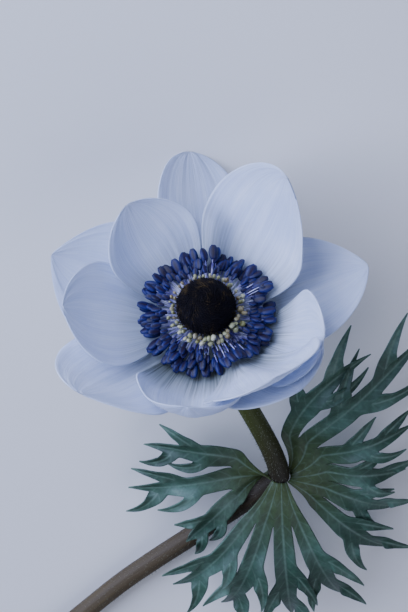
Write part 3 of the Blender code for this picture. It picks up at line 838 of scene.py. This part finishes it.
def anther_skin():
    """An anther is a pair of sacs that split and shed pollen. To the eye it is dark blue and grainy. Its
    pollen is far too fine to show, so the grain is drawn as clumps 0.38 mm across."""
    made, tree, shader = new_material("anther_skin", Roughness=0.5, Specular_IOR_Level=0.35)
    place = add_node(tree, "ShaderNodeTexCoord").outputs["Object"]
    tone = add_node(tree, "ShaderNodeAttribute", attribute_name="tone").outputs["Fac"]
    groove = add_node(tree, "ShaderNodeAttribute", attribute_name="groove").outputs["Fac"]
    grain = add_node(tree, "ShaderNodeTexNoise",
                     {"Vector": place, "Scale": texture_scale(0.3846), "Detail": 2.0})
    patch = add_node(tree, "ShaderNodeTexNoise",
                     {"Vector": place, "Scale": texture_scale(1.667), "Detail": 2.0})
    base = add_node(tree, "ShaderNodeValToRGB", {0: tone},
                    stops=((0.0, "0C1034"), (0.35, "121C50"), (0.7, "182A72"), (1.0, "201C50")))
    shade = add_node(tree, "ShaderNodeValToRGB", {0: patch}, stops=((0.4, "0E0E30"), (0.65, "24287A")))
    base = add_node(tree, "ShaderNodeMix", {0: 0.4, 6: base, 7: shade}, data_type="RGBA")
    dust = add_node(tree, "ShaderNodeValToRGB", {0: grain}, stops=((0.45, "0C0E24"), (0.75, "4450A0")))
    base = add_node(tree, "ShaderNodeMix", {0: 0.25, 6: base, 7: dust}, data_type="RGBA",
                    blend_type="OVERLAY")
    # the furrow between the two sacs is a dark red purple
    base = add_node(tree, "ShaderNodeMix", {0: groove, 6: base, 7: colour("1C0818")}, data_type="RGBA")
    bump = add_node(tree, "ShaderNodeBump", {"Height": grain, "Strength": 0.6, "Distance": 0.0001})
    plug(tree, shader, base, bump)
    return made


FRONT = tuple(HEAD_TURN @ Vector((0, 0, 1)))
ANTHER_ROLL = 0.65         # radians
FILAMENT_RADIUS = 0.12
curves = curve_of("filaments", *filament_lines())
filaments = grow(curves.copy(), filament_tree(), "filaments", Radius=FILAMENT_RADIUS * MM,
                 Material=filament_skin())
sac = sac_form("anther_form", ANTHER_LONG, ANTHER_WIDE, ANTHER_DEEP, 9, 12)
anthers = grow(curves, anther_tree(), "anthers", Anther=sac, Front=FRONT, Roll=ANTHER_ROLL,
               Material=anther_skin())
bpy.data.objects.remove(sac)
plain_stamens = [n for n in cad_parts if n.startswith(("stamen_outer", "stamen_middle"))]
show("stamen_filaments", filaments, None, plain_stamens)
show("stamen_anthers", anthers, None, [])
print("grew", sum(row[0] for row in STAMEN_ROWS), "stamens:", len(anthers.polygons), "anther faces")

# %% [markdown]
# ## The pale inner ring
# Close round the carpel head stands a ring of small knobs, cream to ochre, the youngest stamens,
# whose sacs haven't coloured yet. The ring is fuller on one side of the head. It uses the same trees
# as the large stamens.

# %% Inner ring
# how many places, nearest and furthest reach, lowest and highest
KNOB_ROWS = ((42, 7.9, 8.3, 9.2, 10.2), (34, 8.5, 9.3, 8.4, 9.3))
KNOB_LONG, KNOB_WIDE, STALK_RADIUS, STALK_FOOT = 1.4, 0.66, 0.16, 5.7
FULLEST = math.radians(-60)     # the ring is fullest on this side, and thin on the other


def knob_lines():
    """A short line for each knob's stalk, with more of them on the fuller side."""
    rng = random.Random(4)
    lines, sizes = [], []
    for count, near, far, low, high in KNOB_ROWS:
        for k in range(count):
            angle = 2 * math.pi * (k + rng.uniform(-0.4, 0.4)) / count
            full = 0.5 + 0.5 * math.cos(angle - FULLEST)
            reach, height = rng.uniform(near, far), rng.uniform(low, high)
            if rng.random() > 0.35 + 0.9 * full:
                continue
            line = []
            for t in (0, 0.25, 0.5, 0.75, 1):
                r = FILAMENT_FOOT + (reach - FILAMENT_FOOT) * t
                z = STALK_FOOT + (height - STALK_FOOT) * t ** 1.3
                line.append(Vector((r * math.cos(angle), r * math.sin(angle), z)))
            lines.append(line)
            sizes.append(rng.uniform(0.75, 1.1) * (0.7 + 0.5 * full))
    return lines, sizes


def knob_skin():
    """A young anther's skin is closed and still without pollen. To the eye it is matte, and each knob has
    a tone of its own from cream to ochre, over 1.1 mm patches."""
    made, tree, shader = new_material("young_anther_skin", Roughness=0.5)
    tone = add_node(tree, "ShaderNodeAttribute", attribute_name="tone").outputs["Fac"]
    place = add_node(tree, "ShaderNodeTexCoord").outputs["Object"]
    patch = add_node(tree, "ShaderNodeTexNoise",
                     {"Vector": place, "Scale": texture_scale(1.111), "Detail": 2.0})
    base = add_node(tree, "ShaderNodeValToRGB", {0: tone},
                    stops=((0.0, "66672A"), (0.3, "8C8A4A"), (0.5, "C2BF9C"), (0.7, "7E6428"),
                           (1.0, "4A3A34")))
    shade = add_node(tree, "ShaderNodeValToRGB", {0: patch}, stops=((0.35, "4A4622"), (0.65, "CFCCAE")))
    base = add_node(tree, "ShaderNodeMix", {0: 0.35, 6: base, 7: shade}, data_type="RGBA")
    plug(tree, shader, base)
    return made


KNOB_SKIN = knob_skin()
stalks = curve_of("knob_stalks", *knob_lines())
stalk_mesh = grow(stalks.copy(), filament_tree(), "knob_stalks", Radius=STALK_RADIUS * MM,
                  Material=KNOB_SKIN)
knob = sac_form("knob_form", KNOB_LONG, KNOB_WIDE, KNOB_WIDE, 7, 10)
knobs = grow(stalks, anther_tree(), "knobs", Anther=knob, Front=FRONT, Roll=math.pi, Material=KNOB_SKIN)
bpy.data.objects.remove(knob)
plain_inner = [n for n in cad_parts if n.startswith("stamen_inner")]
show("inner_ring_stalks", stalk_mesh, None, plain_inner)
show("inner_ring_knobs", knobs, None, [])
print("set", len(stalks.splines), "pale knobs round the carpel head")

# %% [markdown]
# ## Stem
# The stem leaves the receptacle along the flower's axis, bends down to the collar of leaves, and runs
# on along the table to its cut end. One tree sweeps a ridged ring along the same route as its plain
# solid's, and a second scatters fine down over it.

# %% Stem route and skin
ROUTE_SHIFT = Vector((HEAD_PLACE.x, HEAD_PLACE.y, 0))     # the head's foot stood over the route's origin
STEM_NODE = Vector((-20.1, 59.2, 11.8)) + ROUTE_SHIFT
STEM_REST = Vector((28.4, 105.2, 3.05)) + ROUTE_SHIFT
STEM_CUT = Vector((50.0, 126.0, 3.05)) + ROUTE_SHIFT
NODE_HEADING = Vector((0.49, 0.82, -0.30))
STEM_RADII = (2.4, 2.9, 2.85, 2.8)
STEM_STEPS = 28
STEM_RIDGES, RIDGE_DEPTH = 9.0, 0.025      # the depth is a share of the radius


def stem_route(fine):
    """Points along the stem from the head to the cut, and its radius at each."""
    top = in_head(Vector((0, 0, RECEPTACLE[0][1] - 0.1))) / MM
    down = (HEAD_TURN @ Vector((0, 0, -1))).normalized()
    incoming = Vector((-0.12, 0.93, -0.30)).normalized()
    rest_way = (STEM_CUT - STEM_REST).normalized()
    upper = interpolate_bezier(top, top + down * 18, STEM_NODE - incoming * 16, STEM_NODE, fine)
    lower = interpolate_bezier(STEM_NODE, STEM_NODE + NODE_HEADING.normalized() * 14,
                               STEM_REST - rest_way * 18, STEM_REST, fine)
    last = [STEM_REST.lerp(STEM_CUT, t / 12) for t in range(1, 13)]
    stops = (0, fine - 1, 2 * fine - 2, 2 * fine + 10)
    points = upper + lower[1:] + last
    radii = np.interp(range(len(points)), stops, STEM_RADII)
    return points, radii


def stem_tree():
    """A ridged skin swept along the route, which keeps how far along and round it each point is."""
    tree, given = new_tree("stem", Ridges="Float", Depth="Float", Material="Material")
    share = add_node(tree, "GeometryNodeSplineParameter").outputs["Factor"]
    route = add_node(tree, "GeometryNodeStoreNamedAttribute",
                     {0: given["Geometry"], "Name": "along", "Value": share},
                     data_type="FLOAT", domain="POINT")
    ring = add_node(tree, "GeometryNodeCurvePrimitiveCircle", {"Resolution": STEM_STEPS, "Radius": MM})
    half = add_node(tree, "ShaderNodeMath", {0: share, 1: 2.0, 2: -1.0}, operation="MULTIPLY_ADD")
    half = add_node(tree, "ShaderNodeMath", {0: half}, operation="ABSOLUTE")
    ring = add_node(tree, "GeometryNodeStoreNamedAttribute", {0: ring, "Name": "around", "Value": half},
                    data_type="FLOAT", domain="POINT")
    turns = add_node(tree, "ShaderNodeMath", {0: share, 1: given["Ridges"]}, operation="MULTIPLY")
    turns = add_node(tree, "ShaderNodeMath", {0: turns, 1: 2 * math.pi}, operation="MULTIPLY")
    wave = add_node(tree, "ShaderNodeMath", {0: turns}, operation="COSINE")
    wave = add_node(tree, "ShaderNodeMath", {0: wave, 1: given["Depth"], 2: 1.0}, operation="MULTIPLY_ADD")
    place = add_node(tree, "GeometryNodeInputPosition")
    place = add_node(tree, "ShaderNodeVectorMath", {0: place, "Scale": wave}, operation="SCALE")
    ring = add_node(tree, "GeometryNodeSetPosition", {0: ring, "Position": place})
    girth = add_node(tree, "GeometryNodeInputRadius")
    tube = add_node(tree, "GeometryNodeCurveToMesh", {0: route, 1: ring, "Scale": girth, "Fill Caps": True})
    finish_tree(tree, tube, given["Material"])
    return tree


route, radii = stem_route(40)
route_curve = curve_of("stem_route", [[HEAD.inverted() @ p for p in route]], [1.0])
route_curve.splines[0].points.foreach_set("radius", radii)
stem_mesh = grow(route_curve, stem_tree(), "stem", Ridges=STEM_RIDGES, Depth=RIDGE_DEPTH,
                 Material=STEM_SKIN)
show("stem_skin", stem_mesh, None, ["stem"])
print("swept a stem", round(sum((b - a).length for a, b in zip(route, route[1:]))), "mm long")


# %% Down on the stem
def down_skin():
    """Down is a growth of fine clear hairs. To the eye each is pale at its tip and takes the stem's green
    at its foot. A real one is about 0.02 mm thick, and these are 0.08 so that they show."""
    made, tree, shader = new_material("plant_down", Roughness=0.5)
    tip = add_node(tree, "ShaderNodeAttribute", attribute_name="tip").outputs["Fac"]
    base = add_node(tree, "ShaderNodeValToRGB", {0: tip}, stops=((0.0, "5C5E44"), (1.0, "A6A892")))
    plug(tree, shader, base)
    return made


def down_tree():
    """Hairs over a surface, but none where it faces down towards the table."""
    tree, given = new_tree("down", Hair="Object", Density="Float", Size="Float", Material="Material")
    facing = add_node(tree, "ShaderNodeSeparateXYZ", {0: add_node(tree, "GeometryNodeInputNormal")})
    upper = add_node(tree, "FunctionNodeCompare", {0: facing.outputs["Z"], 1: -0.3},
                     operation="GREATER_THAN")
    spots = add_node(tree, "GeometryNodeDistributePointsOnFaces",
                     {"Mesh": given["Geometry"], "Selection": upper, "Density": given["Density"],
                      "Seed": 2})
    return stand_out(tree, given, given["Hair"], spots.outputs["Points"], spots.outputs["Normal"], 0.7,
                     (0.5, 1.1), (6, 7))


DOWN_SKIN = down_skin()
HAIR_LONG, HAIR_THICK, HAIR_CURL = 0.75, 0.035, 0.2
HAIRS_PER_MM2 = 1.1
hair = bent_spike("hair_form", HAIR_LONG, HAIR_THICK, HAIR_CURL, rings=3, steps=3)
down = grow(stem_mesh.copy(), down_tree(), "stem_down", Hair=hair, Density=HAIRS_PER_MM2 * 1e6,
            Size=1.0, Material=DOWN_SKIN)
bpy.data.objects.remove(hair)
show("stem_down", down, None, [])
print("scattered down:", len(down.polygons), "faces")

# %% [markdown]
# ## The collar of cut leaves
# Three leaf-like bracts stand round the stem, each cut into long pointed lobes with smaller lobes on
# their sides. A lobe is a ribbon five points wide that bends as it goes and folds up along its
# midrib. Where a side lobe leaves, four steps of the ribbon's edge are the new ribbon's foot, so the
# leaf stays one sheet. Subdivision then rounds the cuts. Each face corner keeps how far it is along
# and across its own ribbon in millimetres, which the veins follow.

# %% Bract sizes
# foot direction, then lobes as (heading, reach, height at the tip, arch, bend)
BRACTS = {
    "bract_left": ((0.97, -0.18, 0.10), ((33, 36, 10, 3, 32), (3, 44, 4, 3, 26), (-30, 40, 7, 4, 52))),
    "bract_far": ((0.05, 0.25, 1.0), ((115, 52, 1, 5, -6), (94, 56, 1, 6, 4), (72, 54, 1, 7, 2),
                                      (53, 50, 8, 5, 0))),
    "bract_right": ((-0.95, -0.05, 0.15), ((262, 50, 19, 4, -52), (236, 60, 16, 6, -12),
                                           (210, 40, 12, 5, -16), (187, 36, 7, 4, -26),
                                           (163, 38, 3, 3, -24), (140, 46, 1, 4, -10))),
}
BRACT_THICK = 0.42
COLLAR_RADIUS, FAN_RADIUS, FAN_RINGS = 3.1, 13.0, 7
COLLAR_AXIS = Vector((0.12, 0.93, -0.28)).normalized()
COLLAR_HALF_SPAN, FAN_LIFT, FAN_MARGIN = 42.0, 4.9, 8.0
LOBE_ROWS, LOBE_WIDTH = 24, 7.2
WIDEST, TAPER = 0.35, 1.9          # where a lobe is widest, and how long it stays broad
SIDE_LOBES = ((7, 1), (10, -1), (15, 1))
SIDE_TURN, SIDE_BEND, SIDE_REACH, SIDE_WIDTH = 36.0, -26.0, 0.36, 3.4
SIDE_ROWS = 9
RIBBON_FOLD = 0.5
TABLE_GAP = 0.3


# %% Grow a bract
class Leaf:
    """A cut leaf grown as ribbons that branch from one another, lying on the table where it reaches it."""

    def __init__(self, seed):
        self.points, self.faces, self.corners = [], [], []
        self.rng = random.Random(seed)

    def add(self, point):
        """Adds a point, lifted to the table where it would sink in, and returns its number."""
        self.points.append(Vector((point.x, point.y, max(point.z, TABLE_GAP))))
        return len(self.points) - 1

    def patch(self, low, high, v_low, v_high, half_low, half_high):
        """Faces between two rows of five points, with their corners' places in millimetres."""
        for k in range(4):
            a, b = k / 2 - 1, (k + 1) / 2 - 1
            self.faces.append((low[k], low[k + 1], high[k + 1], high[k]))
            self.corners.append(((a * half_low, v_low), (b * half_low, v_low),
                                 (b * half_high, v_high), (a * half_high, v_high)))

    def ribbon(self, foot, heading, bend, reach, tip_height, arch, width, rows, sides):
        """Grow a lobe from five foot points; it turns by bend as it goes and folds up along its midrib."""
        middle = self.points[foot[2]].copy()
        foot_line = self.points[foot[0]] - self.points[foot[-1]]
        first = foot_line.length
        start_height = middle.z
        wave, phase = self.rng.uniform(0.2, 0.5), self.rng.uniform(0, 2 * math.pi)
        edges, halves, headings = [foot], [first / 2], [heading]
        for i in range(1, rows + 1):
            v = i / rows
            turn = heading + bend * v
            way = Vector((math.cos(turn), math.sin(turn), 0))
            middle = middle + way * (reach / rows)
            middle.z = start_height + (tip_height - start_height) * v ** 1.5 + arch * math.sin(math.pi * v)
            broad = first + (width - first) * min(1, v / WIDEST)
            half = max(broad / 2 * (1 - v ** TAPER), 0.1)
            side = foot_line.normalized().lerp(Vector((-way.y, way.x, 0)), min(1, v / WIDEST))
            side = side.normalized() * half
            fold = RIBBON_FOLD * half * min(1, 3 * v)
            row = []
            for k in (1, 0.5, 0, -0.5, -1):
                rise = fold * abs(k) ** 1.3 * (1 + wave * math.sin(9 * v + phase + 2 * k))
                row.append(self.add(middle + side * k + Vector((0, 0, rise))))
            edges.append(row)
            halves.append(half)
            headings.append(turn)
        for i in range(rows):
            self.patch(edges[i], edges[i + 1], reach * i / rows, reach * (i + 1) / rows,
                       halves[i], halves[i + 1])
        for row, hand in sides:
            place = 0 if hand > 0 else 4
            base = [edges[row + k][place] for k in range(5)][::hand]
            self.ribbon(base, headings[row] + math.radians(SIDE_TURN) * hand,
                        math.radians(SIDE_BEND) * hand, reach * SIDE_REACH * self.rng.uniform(0.9, 1.15),
                        max(self.points[base[2]].z - 3.0, 0.4), 0.6, SIDE_WIDTH, SIDE_ROWS, ())


def fan_turns(lobes):
    """Headings of the fan's edge points: margins, lobe middles and quarters between them."""
    headings = [lobe[0] for lobe in lobes]
    cuts = [headings[0] + FAN_MARGIN] + [(a + b) / 2 for a, b in zip(headings, headings[1:])]
    cuts.append(headings[-1] - FAN_MARGIN)
    turns = [cuts[0]]
    for low, high in zip(cuts, cuts[1:]):
        turns += [low + (high - low) * k / 4 for k in (1, 2, 3, 4)]
    return turns


def bract_mesh(name, foot_way, lobes, seed):
    """One bract: a fan round the stem, and a branching ribbon for each lobe."""
    leaf = Leaf(seed)
    middle = Vector(foot_way).normalized()
    middle = (middle - COLLAR_AXIS * middle.dot(COLLAR_AXIS)).normalized()
    side = COLLAR_AXIS.cross(middle)
    if max(side.x, side.z) > 0.5:
        side = -side
    turns = fan_turns(lobes)
    rings = []
    for ring in range(FAN_RINGS):
        share = ring / (FAN_RINGS - 1)
        line = []
        for k, turn in enumerate(turns):
            around = math.radians(COLLAR_HALF_SPAN) * (1 - 2 * k / (len(turns) - 1))
            foot = STEM_NODE + (middle * math.cos(around) + side * math.sin(around)) * COLLAR_RADIUS
            fan = STEM_NODE + Matrix.Rotation(math.radians(turn), 3, "Z") @ Vector((FAN_RADIUS, 0, 0))
            fan.z += middle.z * FAN_LIFT + 0.9 * share * abs(k % 4 - 2) / 2
            line.append(leaf.add(foot.lerp(fan, share) + middle * math.sin(share * math.pi)))
        rings.append(line)
    step = FAN_RADIUS / (FAN_RINGS - 1)
    for ring in range(FAN_RINGS - 1):
        for k in range(len(lobes)):
            leaf.patch(rings[ring][4 * k:4 * k + 5], rings[ring + 1][4 * k:4 * k + 5],
                       ring * step - FAN_RADIUS, (ring + 1) * step - FAN_RADIUS, 2.0, 2.5)
    for k, (heading, reach, tip, arch, bend) in enumerate(lobes):
        leaf.ribbon(rings[-1][4 * k:4 * k + 5], math.radians(heading), math.radians(bend),
                    reach - FAN_RADIUS, tip, arch, LOBE_WIDTH, LOBE_ROWS, SIDE_LOBES)
    mesh = mesh_from(name, [p * MM for p in leaf.points], leaf.faces)
    uv = mesh.uv_layers.new(name="leaf")
    uv.data.foreach_set("uv", np.array(leaf.corners).ravel())
    holder = hold(mesh)
    smooth = holder.modifiers.new("round", "SUBSURF")
    smooth.levels = smooth.render_levels = 2
    wall = holder.modifiers.new("wall", "SOLIDIFY")
    wall.thickness, wall.offset = BRACT_THICK * MM, 0.0
    return bake(holder, name)


# %% [markdown]
# ## Leaf material
# The bracts are matte and a little waxy, grey to blue-green, and yellower where they join the stem,
# where they are also darker with painted shade from the head. Each lobe has a paler midrib, and side
# veins leave it at a slant.

# %% Leaf skin
LEAF_GLOW = 0.15
VEIN_STEP = 2.2            # half the distance between side veins


def leaf_skin():
    """Leaf skin is a grown rind with a thin waxy bloom. To the eye it is matte and grey-green, clouded
    over 14 mm and mottled over 1.1 mm, with paler veins, and lets a little light through."""
    made, tree, shader = new_material("leaf_skin", Roughness=0.5, Specular_IOR_Level=0.4)
    uv = add_node(tree, "ShaderNodeUVMap", uv_map="leaf")
    split = add_node(tree, "ShaderNodeSeparateXYZ", {0: uv})
    off = add_node(tree, "ShaderNodeMath", {0: split.outputs["X"]}, operation="ABSOLUTE")
    place = add_node(tree, "ShaderNodeTexCoord").outputs["Object"]
    cloud = add_node(tree, "ShaderNodeTexNoise",
                     {"Vector": place, "Scale": texture_scale(14.286), "Detail": 4.0})
    fine = add_node(tree, "ShaderNodeTexNoise",
                    {"Vector": place, "Scale": texture_scale(1.111), "Detail": 3.0})
    base = add_node(tree, "ShaderNodeValToRGB", {0: cloud},
                    stops=((0.3, "2A4232"), (0.5, "3E5A47"), (0.62, "567462"), (0.8, "849C8C")))
    # near the stem the leaf turns yellow-olive and darker: the yellow is its own colour, the darkening is
    # painted shade from the head
    node = add_node(tree, "ShaderNodeVectorMath", {0: place, 1: tuple(STEM_NODE * MM)},
                    operation="DISTANCE")
    near = add_node(tree, "ShaderNodeMapRange", {0: node.outputs["Value"], 1: 0.024, 2: 0.005, 4: 0.85})
    base = add_node(tree, "ShaderNodeMix", {0: near, 6: base, 7: colour("4C5422")}, data_type="RGBA")
    # slanting side veins every 4.4 mm, then the midrib
    slant = add_node(tree, "ShaderNodeMath", {0: off, 1: -1.1, 2: split.outputs["Y"]},
                     operation="MULTIPLY_ADD")
    slant = add_node(tree, "ShaderNodeMath", {0: slant, 1: VEIN_STEP}, operation="PINGPONG")
    side = add_node(tree, "ShaderNodeMapRange", {0: slant, 1: 0.45, 2: 0.0, 4: 0.2})
    rib = add_node(tree, "ShaderNodeMapRange", {0: off, 1: 0.5, 2: 0.1, 4: 0.45})
    veins = add_node(tree, "ShaderNodeMath", {0: side, 1: rib}, operation="MAXIMUM")
    base = add_node(tree, "ShaderNodeMix", {0: veins, 6: base, 7: colour("7C9480")}, data_type="RGBA")
    mottle = add_node(tree, "ShaderNodeValToRGB", {0: fine}, stops=((0.35, "22342B"), (0.7, "A9C0B6")))
    base = add_node(tree, "ShaderNodeMix", {0: 0.3, 6: base, 7: mottle}, data_type="RGBA",
                    blend_type="OVERLAY")
    relief = add_node(tree, "ShaderNodeMath", {0: veins, 1: 0.5, 2: fine}, operation="MULTIPLY_ADD")
    bump = add_node(tree, "ShaderNodeBump", {"Height": relief, "Strength": 0.6, "Distance": 0.0002})
    plug(tree, shader, base, bump)
    glow = add_node(tree, "ShaderNodeBsdfTranslucent", {"Color": base})
    both = add_node(tree, "ShaderNodeMixShader", {0: LEAF_GLOW, 1: shader, 2: glow})
    tree.links.new(both.outputs[0], tree.nodes["Material Output"].inputs["Surface"])
    return made


LEAF_SKIN = leaf_skin()
for seed, (name, (foot_way, lobes)) in enumerate(BRACTS.items()):
    show(name + "_leaf", bract_mesh(name, foot_way, lobes, seed), LEAF_SKIN, [name])
print("grew", len(BRACTS), "cut bracts")

# %% [markdown]
# ## Floor, light and camera
# The flower lies on a plain pale floor under soft light. The camera looks down on the head from the
# head's side, turned so that the stem runs away down the picture.

# %% Floor
FLOOR_HALF = 6             # metres
corners = [(x * FLOOR_HALF, y * FLOOR_HALF, 0) for x, y in ((-1, -1), (1, -1), (1, 1), (-1, 1))]
floor_mesh = mesh_from("floor", corners, [(0, 1, 2, 3)])
floor = placed("floor", floor_mesh)
floor_paint, _, _ = new_material("pale_floor", Base_Color=colour("E8E3DC"), Roughness=0.7)
floor_mesh.materials.append(floor_paint)
floor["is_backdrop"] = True
print("laid a floor", 2 * FLOOR_HALF, "m square")

# %% Camera
CAMERA_TILT = 27.0         # how far the line of sight leans from straight down
CAMERA_AWAY = 425.0
AIM_RIGHT, AIM_UP = -0.875, 4.5      # from the head's foot to the middle of the picture
lean = math.radians(CAMERA_TILT)
right = Vector((-1, 0, 0))
up = Vector((0, -math.cos(lean), -math.sin(lean)))
back = Vector((0, -math.sin(lean), math.cos(lean)))
camera_data = bpy.data.cameras.new("camera")
camera_data.sensor_width, camera_data.lens = 36.0, 100.0
camera_data.clip_start, camera_data.clip_end = 0.01, 10.0
camera = placed("camera", camera_data)
spot = (HEAD_PLACE + right * AIM_RIGHT + up * AIM_UP + back * CAMERA_AWAY) * MM
camera.matrix_world = Matrix((right, up, back)).transposed().to_4x4()
camera.location = spot
bpy.context.scene.camera = camera
print("the camera stands", [round(c / MM) for c in spot], "mm from the origin")


# %% Lights
def soft_light(name, aim, away, size, power, tint):
    """A square lamp that faces the head; aim is in the picture's right, up and toward directions."""
    data = bpy.data.lights.new(name, "AREA")
    data.size, data.energy, data.color = size, power, colour(tint)[:3]
    lamp = placed(name, data)
    way = (right * aim[0] + up * aim[1] + back * aim[2]).normalized()
    lamp.location = HEAD_PLACE * MM + way * away
    lamp.rotation_mode = "QUATERNION"
    lamp.rotation_quaternion = way.to_track_quat("Z", "Y")
    print("lit the", name, "lamp,", power, "W")


soft_light("key", (-0.8, 0.35, 0.6), 0.7, 1.0, 23.0, "C2D2FF")
soft_light("low", (0.5, -0.8, 0.45), 0.9, 0.8, 3.5, "DCE4FF")
world = bpy.data.worlds.new("soft_room")
world.use_nodes = True
world.node_tree.nodes["Background"].inputs["Color"].default_value = colour("BCCAF4")
world.node_tree.nodes["Background"].inputs["Strength"].default_value = 0.22
bpy.context.scene.world = world

# %% Print the packed and the finished boxes, and finish
made_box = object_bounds()
for label, box in (("packed", CAD_BOX), ("finished", made_box)):
    print(label, [round(c / MM, 1) for corner in box for c in corner])
